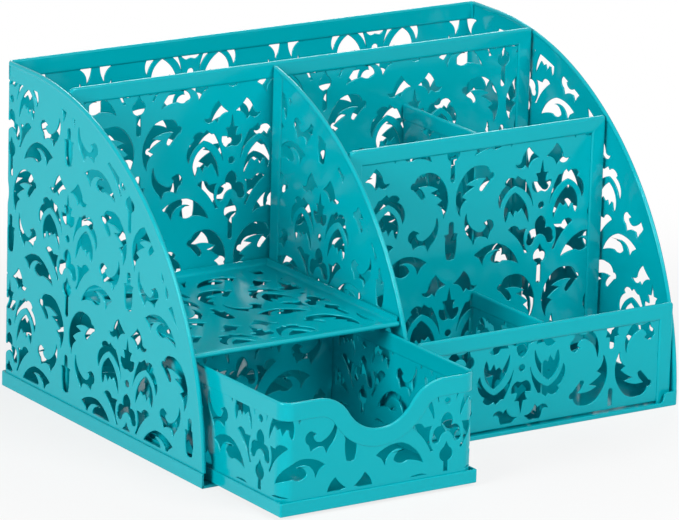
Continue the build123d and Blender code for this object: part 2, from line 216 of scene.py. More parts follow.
scroll = [(4.0, 0.3), (1.9, 8.2, 5.4, 16.4), (9.2, 19.3, 13.6, 19.5), (16.6, 18.4, 17.7, 16.2),
          (19.6, 15.4, 18.3, 13.7), (14.9, 10.0), (13.5, 9.4, 13.0, 10.8), (14.2, 12.8, 15.9, 14.3),
          (11.0, 14.4, 6.6, 12.6), (10.4, 11.6), (7.6, 10.2, 4.6, 7.9), (6.9, 6.6), (4.8, 4.6, 4.0, 0.3)]
hook = [(7.0, 1.2), (6.6, -5.0, 9.6, -9.8), (10.8, -12.0), (11.9, -9.4), (14.8, -9.2, 17.6, -10.5),
        (18.5, -7.8), (20.0, -4.6, 17.5, -2.7), (15.2, -4.0), (16.5, -4.9), (15.6, -6.7, 12.4, -7.1),
        (8.9, -4.4, 7.0, 1.2)]
torch = [(0, -1.4), (0.8, -1.7, 1.1, -2.6), (1.1, -6.2), (3.1, -6.5), (2.5, -8.0),
         (2.6, -11.0, 1.7, -16.4), (0, -16.9)]
heart_pairs, heart_middles = [bell, flame, tulip, club, wave], [leaf, fleur, spade]
scroll_pairs, scroll_middles = [scroll, hook], [torch]
print("outlines drawn:", sum(map(len, (heart_pairs, heart_middles, scroll_pairs, scroll_middles))))

# %% Polygons of the cut-outs
DOT_RADIUS = 1.4
DOT_SIDES = 16
ARC_STEP = 0.6
STRAIGHT = 1e-6
MITRE_REACH = 0.6


def on_circle(x, y, radius, angle):
    """Point of a circle at an angle from its rightmost point."""
    return x + radius * math.cos(angle), y + radius * math.sin(angle)


def arc_points(a, b, c):
    """Points along the arc from a through b to c, without a itself."""
    ax, ay, bx, by, cx, cy = *a, *b, *c
    turn = 2 * (ax * (by - cy) + bx * (cy - ay) + cx * (ay - by))
    if abs(turn) < STRAIGHT:
        return [c]
    aa, bb, cc = ax * ax + ay * ay, bx * bx + by * by, cx * cx + cy * cy
    ux = (aa * (by - cy) + bb * (cy - ay) + cc * (ay - by)) / turn
    uy = (aa * (cx - bx) + bb * (ax - cx) + cc * (bx - ax)) / turn
    radius = math.hypot(ax - ux, ay - uy)
    start = math.atan2(ay - uy, ax - ux)
    sweep = (math.atan2(cy - uy, cx - ux) - start) % math.tau
    if (math.atan2(by - uy, bx - ux) - start) % math.tau > sweep:
        sweep -= math.tau
    steps = max(2, round(abs(sweep) * radius / ARC_STEP))
    return [on_circle(ux, uy, radius, start + sweep * i / steps) for i in range(1, steps + 1)]


def polyline(outline):
    """An outline's straight runs and arcs as points."""
    points = [outline[0]]
    for step in outline[1:]:
        points += [step] if len(step) == 2 else arc_points(points[-1], step[:2], step[2:])
    return points


def counter_clockwise(points):
    """The points, turned so that the inside is on the left."""
    area = sum(a[0] * b[1] - b[0] * a[1] for a, b in zip(points, points[1:] + points[:1]))
    return points if area > 0 else points[::-1]


def both_halves(outlines, centred):
    """Closed polygons of mirrored pairs and of shapes drawn as a right half."""
    polygons = []
    for outline in outlines:
        points = polyline(outline)[:-1]
        polygons += [points, [(-x, y) for x, y in points]]
    for outline in centred:
        half = polyline(outline)
        polygons.append(half + [(-x, y) for x, y in half[-2:0:-1]])
    return [counter_clockwise(p) for p in polygons]


def widened(points, distance):
    """A polygon grown outwards by a distance, with mitred corners of limited reach."""
    grown = []
    for before, here, after in zip(points[-1:] + points[:-1], points, points[1:] + points[:1]):
        d1 = Vector((here[0] - before[0], here[1] - before[1])).normalized()
        d2 = Vector((after[0] - here[0], after[1] - here[1])).normalized()
        out = Vector((d1.y + d2.y, -d1.x - d2.x))
        out /= max(MITRE_REACH, out.length_squared / 2)
        grown.append((here[0] + out.x * distance, here[1] + out.y * distance))
    return grown


dot = [on_circle(0.0, 0.0, DOT_RADIUS, i * math.tau / DOT_SIDES) for i in range(DOT_SIDES)]
leaf_cuts = both_halves(heart_pairs, heart_middles) + [dot]
scroll_cuts = both_halves(scroll_pairs, scroll_middles)
print("cut-outs in a heart:", len(leaf_cuts), "in a pair of scrolls:", len(scroll_cuts))

# %% Solid punches
HOLE_LIP = 0.32
HOLE_LIP_STEPS = 3
OVERSHOOT = 0.04


def linked(name, data):
    """An object that holds some data, in the scene's collection."""
    piece = bpy.data.objects.new(name, data)
    bpy.context.collection.objects.link(piece)
    return piece


def mesh_object(name, points, faces):
    """An object from points in millimetres and faces."""
    mesh = bpy.data.meshes.new(name)
    mesh.from_pydata([Vector(p) * MM for p in points], [], faces)
    return linked(name, mesh)


def quarter_turn(steps):
    """Even angles from 0 to a right angle."""
    return [math.pi / 2 * i / steps for i in range(steps + 1)]


def stack(rings):
    """Closed solid from rings of equal count, the first at the bottom: its points and faces."""
    count = len(rings[0])
    points = [p for ring in rings for p in ring]
    faces = [list(range(count))[::-1], [len(points) - count + i for i in range(count)]]
    for level in range(len(rings) - 1):
        low, high = level * count, (level + 1) * count
        faces += [[low + i, low + (i + 1) % count, high + (i + 1) % count, high + i] for i in range(count)]
    return points, faces


def punches(name, polygons):
    """One object with a flared punch for every cut-out."""
    points, faces = [], []
    upper = [(SHEET / 2 - HOLE_LIP + HOLE_LIP * math.sin(a), HOLE_LIP - HOLE_LIP * math.cos(a))
             for a in quarter_turn(HOLE_LIP_STEPS)]
    upper[-1] = (SHEET / 2 + OVERSHOOT, HOLE_LIP + OVERSHOOT)
    levels = [(-w, out) for w, out in upper[::-1]] + upper
    for polygon in polygons:
        rings = [[(x, y, w) for x, y in widened(polygon, out)] for w, out in levels]
        ring_points, ring_faces = stack(rings)
        faces += [[len(points) + i for i in face] for face in ring_faces]
        points += ring_points
    return mesh_object(name, points, faces)


leaf_punch = punches("leaf_punch", leaf_cuts)
scroll_punch = punches("scroll_punch", scroll_cuts)
print("punch faces:", len(leaf_punch.data.polygons), len(scroll_punch.data.polygons))

# %% [markdown]
# ## Punching a sheet with Geometry Nodes
#
# A press punches the same tool again and again at even steps. The node tree does the same: a grid of
# points, leaf punches on the even points and scroll punches on the odd ones, held to the window that the
# pattern fills, and cut from the blank. Sizes are inputs of the tree, so one tree makes every sheet.

# %% Punching tree
COLUMN_PITCH = 42.6
HALF_DROP = 46.4
REACH = 7


def punching_tree():
    """Node tree that punches a half-drop repeat through the blank it is put on."""
    tree = bpy.data.node_groups.new("punch a damask", "GeometryNodeTree")
    add = tree.interface.new_socket
    add("Blank", in_out="INPUT", socket_type="NodeSocketGeometry")
    for name, kind in (("Window", "NodeSocketObject"), ("Leaf punch", "NodeSocketObject"),
                       ("Scroll punch", "NodeSocketObject"), ("Column pitch", "NodeSocketFloat"),
                       ("Half drop", "NodeSocketFloat"), ("Heart", "NodeSocketVector"),
                       ("Stretch", "NodeSocketVector"), ("Turn", "NodeSocketFloat"),
                       ("Coat", "NodeSocketMaterial")):
        add(name, in_out="INPUT", socket_type=kind)
    add("Sheet", in_out="OUTPUT", socket_type="NodeSocketGeometry")
    inputs = tree.nodes.new("NodeGroupInput")
    given = {out.name: Socket(tree, out) for out in inputs.outputs if out.name}

    def solid_of(name):
        return make(tree, "GeometryNodeObjectInfo", {"transform_space": "ORIGINAL"},
                    {"Object": given[name]}, output="Geometry")

    count = 2 * REACH + 1
    grid = make(tree, "GeometryNodeMeshGrid", None, {
        "Size X": given["Column pitch"] * (count - 1), "Size Y": given["Half drop"] * (count - 1),
        "Vertices X": count, "Vertices Y": count})
    place = make(tree, "GeometryNodeInputPosition")
    across = make(tree, "ShaderNodeSeparateXYZ", None, {0: place}, output="X") / given["Column pitch"]
    up = make(tree, "ShaderNodeSeparateXYZ", None, {0: place}, output="Y") / given["Half drop"]
    odd = (across.rounded() + up.rounded()).modulo(2)
    even = 1 - odd
    turn = make(tree, "ShaderNodeCombineXYZ", None, {"Z": given["Turn"]})
    rows = []
    for chosen, name in ((even, "Leaf punch"), (odd, "Scroll punch")):
        rows.append(make(tree, "GeometryNodeInstanceOnPoints", None, {
            "Points": grid, "Selection": chosen, "Instance": solid_of(name), "Rotation": turn,
            "Scale": given["Stretch"]}))
    tools = make(tree, "GeometryNodeJoinGeometry", None, {0: rows})
    tools = make(tree, "GeometryNodeRealizeInstances", None, {0: tools})
    tools = make(tree, "GeometryNodeTransform", None, {"Geometry": tools, "Translation": given["Heart"]})
    held = make(tree, "GeometryNodeMeshBoolean", {"operation": "INTERSECT", "solver": "MANIFOLD"},
                {"Mesh 2": [tools, solid_of("Window")]})
    cut = make(tree, "GeometryNodeMeshBoolean", {"operation": "DIFFERENCE", "solver": "MANIFOLD"},
               {"Mesh 1": given["Blank"], "Mesh 2": held})
    sheet = make(tree, "GeometryNodeRealizeInstances", None, {0: cut})
    sheet = make(tree, "GeometryNodeSetMaterial", None, {"Geometry": sheet, "Material": given["Coat"]})
    out = tree.nodes.new("NodeGroupOutput")
    tree.links.new(sheet.out, out.inputs["Sheet"])
    return tree


PUNCHING = punching_tree()
SOCKETS = {item.name: item.identifier for item in PUNCHING.interface.items_tree if item.in_out == "INPUT"}
print("inputs of the punching tree:", ", ".join(SOCKETS))

# %% Blanks
CELL = 14.0
MERGE = 1e-7


def prism(name, outline, thick):
    """A flat outline made solid about its own plane."""
    outline = counter_clockwise(outline)
    return mesh_object(name, *stack([[(u, v, w) for u, v in outline] for w in (-thick / 2, thick / 2)]))


def rectangle(low_u, low_v, high_u, high_v):
    """Corners of a rectangle, counter-clockwise."""
    return [(low_u, low_v), (high_u, low_v), (high_u, high_v), (low_u, high_v)]


@contextmanager
def edited(piece):
    """A piece's mesh, open for changes that are stored at the end."""
    mesh = bmesh.new()
    mesh.from_mesh(piece.data)
    yield mesh
    mesh.to_mesh(piece.data)
    mesh.free()


def score(piece, axis, places):
    """Cut a piece's faces along straight lines, without parting them."""
    with edited(piece) as mesh:
        for place in places:
            at, normal = Vector(), Vector()
            at[axis], normal[axis] = place * MM, 1.0
            bmesh.ops.bisect_plane(mesh, geom=[*mesh.verts, *mesh.edges, *mesh.faces], dist=MERGE,
                                   plane_co=at, plane_no=normal)


# %% Punched sheets
def apply_modifiers(piece):
    """Make what a piece's modifiers show its own plain mesh."""
    mesh = bpy.data.meshes.new_from_object(piece.evaluated_get(bpy.context.evaluated_depsgraph_get()))
    piece.modifiers.clear()
    piece.data = mesh


def punched(name, outline, window, heart, stretch=(1.0, 1.0), turned=False):
    """A flat punched sheet in its own (across, up, towards) frame, as a plain mesh object."""
    blank = prism(name, outline, SHEET)
    for axis in (0, 1):
        low, high = min(p[axis] for p in outline), max(p[axis] for p in outline)
        score(blank, axis, [low + CELL * (i + 0.5) for i in range(int((high - low) / CELL))])
    edge = prism(name + "_window", window, 2 * SHEET)
    change = blank.modifiers.new("punch", "NODES")
    change.node_group = PUNCHING
    values = {"Window": edge, "Leaf punch": leaf_punch, "Scroll punch": scroll_punch,
              "Column pitch": COLUMN_PITCH * stretch[0] * MM, "Half drop": HALF_DROP * stretch[1] * MM,
              "Heart": (heart[0] * MM, heart[1] * MM, 0.0), "Stretch": (*stretch, 1.0),
              "Turn": math.pi if turned else 0.0, "Coat": COAT}
    for key, value in values.items():
        change[SOCKETS[key]] = value
    apply_modifiers(blank)
    bpy.data.objects.remove(edge)
    return blank


# %% Placing and finishing
SHARP_ANGLE = math.radians(40)
CROSS = Matrix(((1, 0, 0), (0, 0, -1), (0, 1, 0)))
ALONG = Matrix(((0, 0, 1), (1, 0, 0), (0, 1, 0)))
LEVEL = Matrix.Identity(3)


def put(piece, turn, offset):
    """Turn a piece from its own frame to the object's, and move it there, in its mesh."""
    piece.data.transform(Matrix.Translation(Vector(offset) * MM) @ turn.to_4x4())


def finish_piece(piece, body, *nodes):
    """Coat a piece, let it ride on its body, and let it stand for its CAD nodes."""
    piece.data.materials.clear()
    piece.data.materials.append(COAT)
    piece.data.polygons.foreach_set("use_smooth", [True] * len(piece.data.polygons))
    piece.data.set_sharp_from_angle(angle=SHARP_ANGLE)
    even = piece.modifiers.new("even", "WEIGHTED_NORMAL")
    even.keep_sharp = True
    apply_modifiers(piece)
    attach(piece, body)
    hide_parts(*nodes)
    print(piece.name, len(piece.data.polygons), "faces")


# %% [markdown]
# ## The wrap: left side, back and right side
#
# The two sides and the back read as one sheet, because the pattern runs on round the rear corners. So it
# is made as a workshop would: a flat blank is punched and then rolled round the corners. U is the way
# along the blank, with 0 at the middle of the back. The repeat isn't quite even along it: a short list
# says where its columns fall and how much they sag, and the blank is punched in the repeat's own even
# steps before it is laid out.

# %% Layout of the wrap
BEND_RADIUS = BACK_Y - SIDE_BACK
BEND_LENGTH = math.pi / 2 * BEND_RADIUS
BEND_STEPS = 6
ARC_STEPS = 48
OUTLINE_STEP = 5.0
WRAP_DROP = 0.97
WRAP_ROW = 117.0


def side_u(y):
    """Place along the blank of a point of the right side."""
    return BACK_HALF + BEND_LENGTH + SIDE_BACK - y


SIDE_PITCH, BACK_PITCH = 45.1, 43.6
left_heart, back_heart, right_heart = -side_u(-18.6), -25.9, side_u(-56.6)
COLUMN, PLACE, SAG = 0, 1, 2
LAYOUT = [(-8.0, left_heart - 4 * SIDE_PITCH, -1.4), (-4.0, left_heart, -1.4),
          (-2.5, left_heart + 1.5 * SIDE_PITCH, -0.6), (-1.4, back_heart - 1.4 * BACK_PITCH, 0.0),
          (2.4, back_heart + 2.4 * BACK_PITCH, 0.0), (3.8, right_heart - 2.2 * SIDE_PITCH, 0.0),
          (8.0, right_heart + 2 * SIDE_PITCH, 0.0)]


def looked_up(value, given, wanted):
    """Value of one column of the layout for a value of another, along straight lines."""
    for a, b in zip(LAYOUT, LAYOUT[1:]):
        if value <= b[given] or b is LAYOUT[-1]:
            return a[wanted] + (b[wanted] - a[wanted]) * (value - a[given]) / (b[given] - a[given])


def to_repeat(points):
    """An outline along the wrap in the repeat's even steps, with points close enough to follow it."""
    fine = []
    for a, b in zip(points, points[1:] + points[:1]):
        steps = max(1, round(math.dist(a, b) / OUTLINE_STEP))
        fine += [tuple(p + (q - p) * i / steps for p, q in zip(a, b)) for i in range(steps)]
    return [(looked_up(u, PLACE, COLUMN) * COLUMN_PITCH, v - looked_up(u, PLACE, SAG)) for u, v in fine]


# %% Bends
def rolled_round(u, w, half, radius):
    """A point of a strip whose two ends are bent: its place across, over the bend, and on along the end."""
    side, u = (1, u) if u >= 0 else (-1, -u)
    angle = min(max(0.0, u - half) / radius, math.pi / 2)
    out = radius - w
    across = min(u, half) + out * math.sin(angle)
    return side * across, out * math.cos(angle), max(0.0, u - half - math.pi / 2 * radius)


def fold_places(start, length):
    """Places of a bend's score lines along the right half of a blank."""
    return [start + length * i / BEND_STEPS for i in range(BEND_STEPS + 1)]


def both_sides(places):
    """Places along the right half of a blank, and the same along its left half."""
    return [side * u for side in (-1, 1) for u in places]


def bend(piece, lines, mapping):
    """Score a flat piece at places along it and move its points to where the bend takes them."""
    score(piece, 0, lines)
    with edited(piece) as mesh:
        for point in mesh.verts:
            point.co = Vector(mapping(*(point.co / MM))) * MM
        bmesh.ops.recalc_face_normals(mesh, faces=mesh.faces)


def rolled(u, v, w):
    """Where a point of the wrap goes when it is bent: w is towards the inside."""
    x, over, on = rolled_round(u, w, BACK_HALF, BEND_RADIUS)
    return x, SIDE_BACK + over - on, v


def laid_out(p, v, w):
    """Where a point of the punched blank goes: from even steps to the wrap, and round its bends."""
    u = looked_up(p / COLUMN_PITCH, COLUMN, PLACE)
    return rolled(u, v + looked_up(u, PLACE, SAG), w)


def arc_edge(inset, back, foot):
    """Curved front edge of a side, from its foot up and back: points (y, z)."""
    radius = ARC_RADIUS - inset
    start = math.asin(max(0.0, foot - BASE_PLATE) / radius)
    stop = math.pi / 2
    if back < ARC_CENTRE:
        stop = math.acos((ARC_CENTRE - back) / radius)
    angles = [start + (stop - start) * i / ARC_STEPS for i in range(ARC_STEPS + 1)]
    edge = [(ARC_CENTRE - radius * math.cos(a), BASE_PLATE + radius * math.sin(a)) for a in angles]
    return edge + ([(back, BASE_PLATE + radius)] if back > ARC_CENTRE else [])


def wrap_outline(inset, foot):
    """Closed outline along the wrap, set in from the curved edges, standing on a foot."""
    right = [(side_u(y), z) for y, z in arc_edge(inset, SIDE_BACK, foot)]
    return right + [(-u, z) for u, z in right[::-1]]


# %% Punched and rolled wrap
BEAD_LIFT = 0.1
bead_foot = BASE_LIP + BEAD_LIFT
foot_u = side_u(FRONT + BASE_CORNER)
blank = wrap_outline(SHEET_INSET, bead_foot)
blank += [(-foot_u, bead_foot), (-foot_u, BASE_PLATE), (foot_u, BASE_PLATE), (foot_u, bead_foot)]
window = wrap_outline(PLAIN_MARGIN, BASE_LIP + LOW_MARGIN)
wrap = punched("wrap_sheet", to_repeat(blank), to_repeat(window), heart=(0.0, WRAP_ROW),
               stretch=(1.0, WRAP_DROP))
bends = both_sides(fold_places(BACK_HALF, BEND_LENGTH))
scores = [looked_up(u, PLACE, COLUMN) * COLUMN_PITCH for u in bends]
scores += [row[COLUMN] * COLUMN_PITCH for row in LAYOUT[1:-1]]
bend(wrap, scores, laid_out)
finish_piece(wrap, "body", "left_side", "back_panel", "right_side")

# %% [markdown]
# ## Flat panels
#
# The inner walls are flat punched sheets that stand on the base: the letter divider, the partition, the
# two panels of the bins and the two short dividers. Each is punched in its own plane and then stood up in
# its place.

# %% Upright panels
UNDER_HEM = HEM_HEIGHT - SHEET_INSET
FOOT = BASE_PLATE + FOOT_MARGIN


def stance(node, turn):
    """An upright CAD node's two ends, foot and top, and the offset of its middle plane."""
    low, high = box_mm(node)
    across, through = (0, 1) if turn is CROSS else (1, 0)
    offset = [0, 0, 0]
    offset[through] = (low[through] + high[through]) / 2
    return low[across], high[across], low[2], high[2], offset


def panel(node, body, turn, end_margin, foot, top_margin, heart, turned=False):
    """A rectangular punched sheet in the place of a CAD node."""
    start, end, low, top, offset = stance(node, turn)
    window = rectangle(start + end_margin, foot, end - end_margin, top - top_margin)
    piece = punched(node + "_sheet", rectangle(start, low, end, top), window, heart, turned=turned)
    put(piece, turn, offset)
    finish_piece(piece, body, node)


panel("letter_divider", "body", CROSS, UNDER_HEM, FOOT, UNDER_HEM, heart=(-33.4, 92.2))
panel("sorter_panel", "body", CROSS, UNDER_HEM, FOOT, UNDER_HEM, heart=(35.4, 26.0))
panel("front_panel", "body", CROSS, UNDER_HEM, FOOT, UNDER_HEM, heart=(36.2, 25.1), turned=True)
panel("rear_bin_divider", "body", ALONG, FOOT_MARGIN, FOOT, UNDER_HEM, heart=(4.0, 80.0))
panel("front_bin_divider", "body", ALONG, FOOT_MARGIN, FOOT, UNDER_HEM, heart=(-45.0, 20.0))

# %% Partition
part_low, part_high = box_mm("partition")
part_x = (part_low[0] + part_high[0]) / 2
PART_BACK = box_mm("partition_rim")[1][1]


def closed_profile(inset, back, foot):
    """A side's outline with its curved front, closed along the back and the foot."""
    return arc_edge(inset, back, foot) + [(back, foot)]


partition = punched("partition_sheet", closed_profile(SHEET_INSET, part_high[1], BASE_PLATE),
                    closed_profile(PLAIN_MARGIN, PART_BACK - HEM_HEIGHT, FOOT), heart=(-6.1, 67.4))
put(partition, ALONG, (part_x, 0, 0))
finish_piece(partition, "body", "partition")

# %% [markdown]
# ## The shelf
#
# The shelf over the drawer bay is punched like the walls, and its sides and back are turned up a little.
# The edge could be bent from the blank. One section swept along the three edges is simpler, and it gives
# the soft top and the small cove at its foot as well.

# %% Shelf
SHELF_BORDER = 6.5
COVE = 1.2
EDGE_STEPS = 4
UPSTAND_EDGE = 0.3
UPSTAND_DROP = 0.5
UPSTAND_SUNK = 0.3
UPSTAND_SKIN = 0.02
UPSTAND_CHAMFER = 0.1
UPSTAND_SETBACK = 1.5
shelf_low, shelf_high = box_mm("shelf")
lip_low, lip_high = box_mm("shelf_rim")
SHELF_TOP = (lip_low[2] + lip_high[2] + SHEET) / 2


def upstand_section():
    """Section of the shelf's turned-up edge, with a soft top and a cove at its foot: (inwards, height)."""
    turns = quarter_turn(EDGE_STEPS)
    edge, top, sunk = UPSTAND_EDGE, shelf_high[2] - UPSTAND_DROP, SHELF_TOP - UPSTAND_SUNK
    over = [(edge - edge * math.cos(a), top - edge + edge * math.sin(a)) for a in turns]
    cove = [(SHEET + COVE - COVE * math.cos(a), SHELF_TOP + COVE - COVE * math.sin(a)) for a in turns]
    return [(SHEET + COVE, sunk), (UPSTAND_SKIN, sunk)] + over + [(SHEET, top - UPSTAND_CHAMFER)] + cove


shelf_outline = rectangle(shelf_low[0], shelf_low[1], shelf_high[0], shelf_high[1])
shelf_window = rectangle(shelf_low[0] + SHELF_BORDER, lip_low[1] + SHELF_BORDER,
                         shelf_high[0] - SHELF_BORDER, shelf_high[1] - SHELF_BORDER)
shelf = punched("shelf_sheet", shelf_outline, shelf_window, heart=(-69.0, -58.5))
put(shelf, LEVEL, (0, 0, SHELF_TOP - SHEET / 2))
upstand_front = lip_low[1] + UPSTAND_SETBACK
rings = []
for x, y, way_x, way_y in ((shelf_low[0], upstand_front, 1, 0), (shelf_low[0], shelf_high[1], 1, -1),
                           (shelf_high[0], shelf_high[1], -1, -1), (shelf_high[0], upstand_front, -1, 0)):
    rings.append([(x + way_x * t, y + way_y * t, z) for t, z in upstand_section()])
points, faces = stack(rings)
with edited(shelf) as mesh:
    corners = [mesh.verts.new(Vector(p) * MM) for p in points]
    added = [mesh.faces.new([corners[i] for i in face]) for face in faces]
    bmesh.ops.recalc_face_normals(mesh, faces=added)
finish_piece(shelf, "body", "shelf")

# %% [markdown]
# ## The drawer's walls
#
# The drawer's front and sides are one strip too: the pattern runs round its front corners. The blank has
# a finger scoop in its top edge, made of three arcs, and is rolled round the corners the way the wrap is.

# %% Drawer sizes
tray_low, tray_high = box_mm("drawer_tray")
front_low, front_high = box_mm("drawer_front")
wall_low, wall_high = box_mm("drawer_right_side")
DRAWER_TOP = box_mm("drawer_front_rim")[1][2]
DRAWER_FLOOR = front_low[2]
DRAWER_MIDDLE = (front_low[0] + front_high[0]) / 2
FACE_Y = front_low[1] + SHEET / 2
FOLD_RADIUS = front_high[1] - FACE_Y
FOLD_LENGTH = math.pi / 2 * FOLD_RADIUS
WALL_HALF = (front_high[0] - front_low[0]) / 2 - SHEET / 2
FACE_HALF = WALL_HALF - FOLD_RADIUS
WALL_RUN = wall_high[1] - wall_low[1]
STRIP_HALF = FACE_HALF + FOLD_LENGTH + WALL_RUN
print("drawer strip", round(2 * STRIP_HALF, 1), "mm long, folded at", round(FACE_HALF, 1))

# %% Drawer blank
SCOOP_WIDTH = 55.0
SCOOP_DROP = 15.2
SCOOP_STEPS = 14


def drawer_rolled(u, v, w):
    """Where a point of the drawer strip goes when it is bent: w is towards the inside."""
    x, over, on = rolled_round(u, w, FACE_HALF, FOLD_RADIUS)
    return DRAWER_MIDDLE + x, FACE_Y + FOLD_RADIUS - over + on, v


def scoop_edge(inset):
    """Right half of the scooped top edge, from its middle outwards, set in from the edge."""
    half = SCOOP_WIDTH / 2
    bow = (half**2 + SCOOP_DROP**2) / (4 * SCOOP_DROP)
    swing = math.acos((bow - SCOOP_DROP / 2) / bow)
    bowl, brow = DRAWER_TOP - SCOOP_DROP + bow, DRAWER_TOP - bow
    wide, tight = bow + inset, bow - inset
    angles = [swing * i / SCOOP_STEPS for i in range(SCOOP_STEPS + 1)]
    low = [(wide * math.sin(a), bowl - wide * math.cos(a)) for a in angles]
    high = [(half - tight * math.sin(a), brow + tight * math.cos(a)) for a in angles[::-1]]
    return low + high[1:]


def strip_outline(inset, low, half):
    """Closed outline of the drawer strip under its top edge."""
    right = scoop_edge(inset) + [(half, DRAWER_TOP - inset), (half, low)]
    return right + [(-u, v) for u, v in right[:0:-1]]


# %% Punched and rolled drawer
WINDOW_FOOT = tray_high[2] + LOW_MARGIN
strip_window = strip_outline(DRAWER_HEM_HEIGHT, WINDOW_FOOT, STRIP_HALF - FOOT_MARGIN)
drawer_wrap = punched("drawer_strip", strip_outline(SHEET_INSET, DRAWER_FLOOR, STRIP_HALF), strip_window,
                      heart=(29.8, 35.0))
bend(drawer_wrap, both_sides(fold_places(FACE_HALF, FOLD_LENGTH)), drawer_rolled)
finish_piece(drawer_wrap, "drawer", "drawer_front", "drawer_left_side", "drawer_right_side")
panel("drawer_back", "drawer", CROSS, FOOT_MARGIN, WINDOW_FOOT, DRAWER_HEM_HEIGHT - SHEET_INSET,
      heart=(-61.1, 35.0))
for tool in (leaf_punch, scroll_punch):
    bpy.data.objects.remove(tool)

# %% [markdown]
# ## Hems
#
# A hem is a strip folded over a sheet's edge: a round crest with two flat flaps. Its section is swept
# between two rails, the crest line and the line where the flaps end, so a hem keeps its width round arcs
# and turns the corners of a panel's frame in one piece.

# %% Hem section and sweep
FLAP_GAP = 0.03
FLAP_ROUNDING = 0.9
FLAP_TAPER = 2
CREST_STEPS = 6


def flap(depth, half):
    """One side of a hem's section: from beside the crest down, round the flap's edge and up to the sheet."""
    crest = [(HEM_THICK / 2 * (1 - math.cos(a)), half * math.sin(a)) for a in quarter_turn(CREST_STEPS)[1:]]
    slot = SHEET / 2 + FLAP_GAP
    soft = (half - slot) * FLAP_ROUNDING
    edge = [(depth - FLAP_TAPER * soft * (1 - math.sin(a)), half - soft + soft * math.cos(a))
            for a in quarter_turn(EDGE_STEPS)]
    return crest + edge + [(depth, slot), (SHEET, slot)]


def hem_section(depth, inside, outside):
    """Closed section of a hem as (depth below the crest, place across)."""
    return [(0.0, 0.0)] + flap(depth, inside) + [(d, -w) for d, w in flap(depth, outside)[::-1]]


def sweep(name, rails, mapping):
    """Sweep a hem along rails of (crest point, flap point, depth, inner half, outer half)."""
    rings = []
    for crest, foot, depth, inside, outside in rails:
        rings.append([mapping(crest[0] + (foot[0] - crest[0]) * d / depth,
                              crest[1] + (foot[1] - crest[1]) * d / depth, w)
                      for d, w in hem_section(depth, inside, outside)])
    piece = mesh_object(name, *stack(rings))
    with edited(piece) as mesh:
        bmesh.ops.remove_doubles(mesh, verts=mesh.verts, dist=MERGE)
        bmesh.ops.recalc_face_normals(mesh, faces=mesh.faces)
    return piece


def paired(crest, foot, depth, outside=HEM_THICK / 2):
    """Rails from two lines of equal count."""
    return [(c, f, depth, HEM_THICK / 2, outside) for c, f in zip(crest, foot)]


print("points in a hem's section:", len(hem_section(HEM_HEIGHT, HEM_THICK / 2, HEM_THICK / 2)))

# %% Hem of the wrap
BEAD = 1.7
BEAD_OUT = 0.8
FLUSH = 0.52
RAIL_GAP = 0.01


def wrap_rails():
    """Rails of the wrap's hem: a thin bead on the curves, a deep fold along the back."""
    crest = [(side_u(y), z) for y, z in arc_edge(0, SIDE_BACK, bead_foot)]
    bead = [(side_u(y), z) for y, z in arc_edge(BEAD, SIDE_BACK, bead_foot)]
    right = paired(crest, bead, BEAD, BEAD_OUT)
    fold = [u - RAIL_GAP for u in fold_places(BACK_HALF, BEND_LENGTH)[::-1]]
    flaps = [(u, HEIGHT - BACK_HEM_HEIGHT) for u in fold]
    right += paired([(u, HEIGHT) for u in fold], flaps, BACK_HEM_HEIGHT, FLUSH)
    left = [((-c[0], c[1]), (-f[0], f[1]), *rest) for c, f, *rest in right[::-1]]
    return right + left


wrap_hem = sweep("wrap_hem", wrap_rails(), rolled)
finish_piece(wrap_hem, "body", "left_side_rim", "back_rim", "right_side_rim")

# %% Hems of the panels
LEFT_CORNER = 2.6
RIGHT_CORNER = 1.2
CORNER_STEPS = 6


def frame_rails(left, right, top, depth):
    """Rails up one end of a panel, round a soft corner, along its top, round the other and down."""
    crest, foot = [(left, BASE_PLATE)], [(left + depth, BASE_PLATE)]
    for end, inward, radius in ((left, 1, LEFT_CORNER), (right, -1, RIGHT_CORNER)):
        for angle in quarter_turn(CORNER_STEPS)[::inward]:
            along = inward * radius * (1 - math.cos(angle))
            crest.append((end + along, top - radius + radius * math.sin(angle)))
            foot.append((end + inward * depth, top - depth))
    return paired(crest + [(right, BASE_PLATE)], foot + [(right - depth, BASE_PLATE)], depth)


def stood(turn, offset):
    """Mapping from a panel's own frame to the object's."""
    return lambda u, v, w: tuple(turn @ Vector((u, v, w)) + Vector(offset))


def hem(node, turn, body, ends):
    """Hem over a panel's top and, where it has them, its ends, in the place of a CAD node."""
    start, end, low, top, offset = stance(node, turn)
    if ends:
        rails = frame_rails(start, end, top, HEM_HEIGHT)
    else:
        rails = paired([(start, top), (end, top)], [(start, low), (end, low)], top - low)
    finish_piece(sweep(node + "_hem", rails, stood(turn, offset)), body, node)


for node in ("letter_divider_rim", "sorter_panel_rim", "front_panel_rim"):
    hem(node, CROSS, "body", True)
for node in ("rear_bin_divider_rim", "front_bin_divider_rim"):
    hem(node, ALONG, "body", False)
hem("drawer_back_rim", CROSS, "drawer", False)

# %% Hems of the partition and the shelf
part_crest = arc_edge(0, PART_BACK, BASE_PLATE)
part_bead = arc_edge(BEAD, PART_BACK - HEM_HEIGHT, BASE_PLATE)
part_rails = paired(part_crest, part_bead, BEAD)
part_rails += paired([part_crest[-1], (PART_BACK, BASE_PLATE)],
                     [part_bead[-1], (PART_BACK - HEM_HEIGHT, BASE_PLATE)], HEM_HEIGHT)
part_hem = sweep("partition_hem", part_rails, stood(ALONG, (part_x, 0, 0)))
finish_piece(part_hem, "body", "partition_rim")

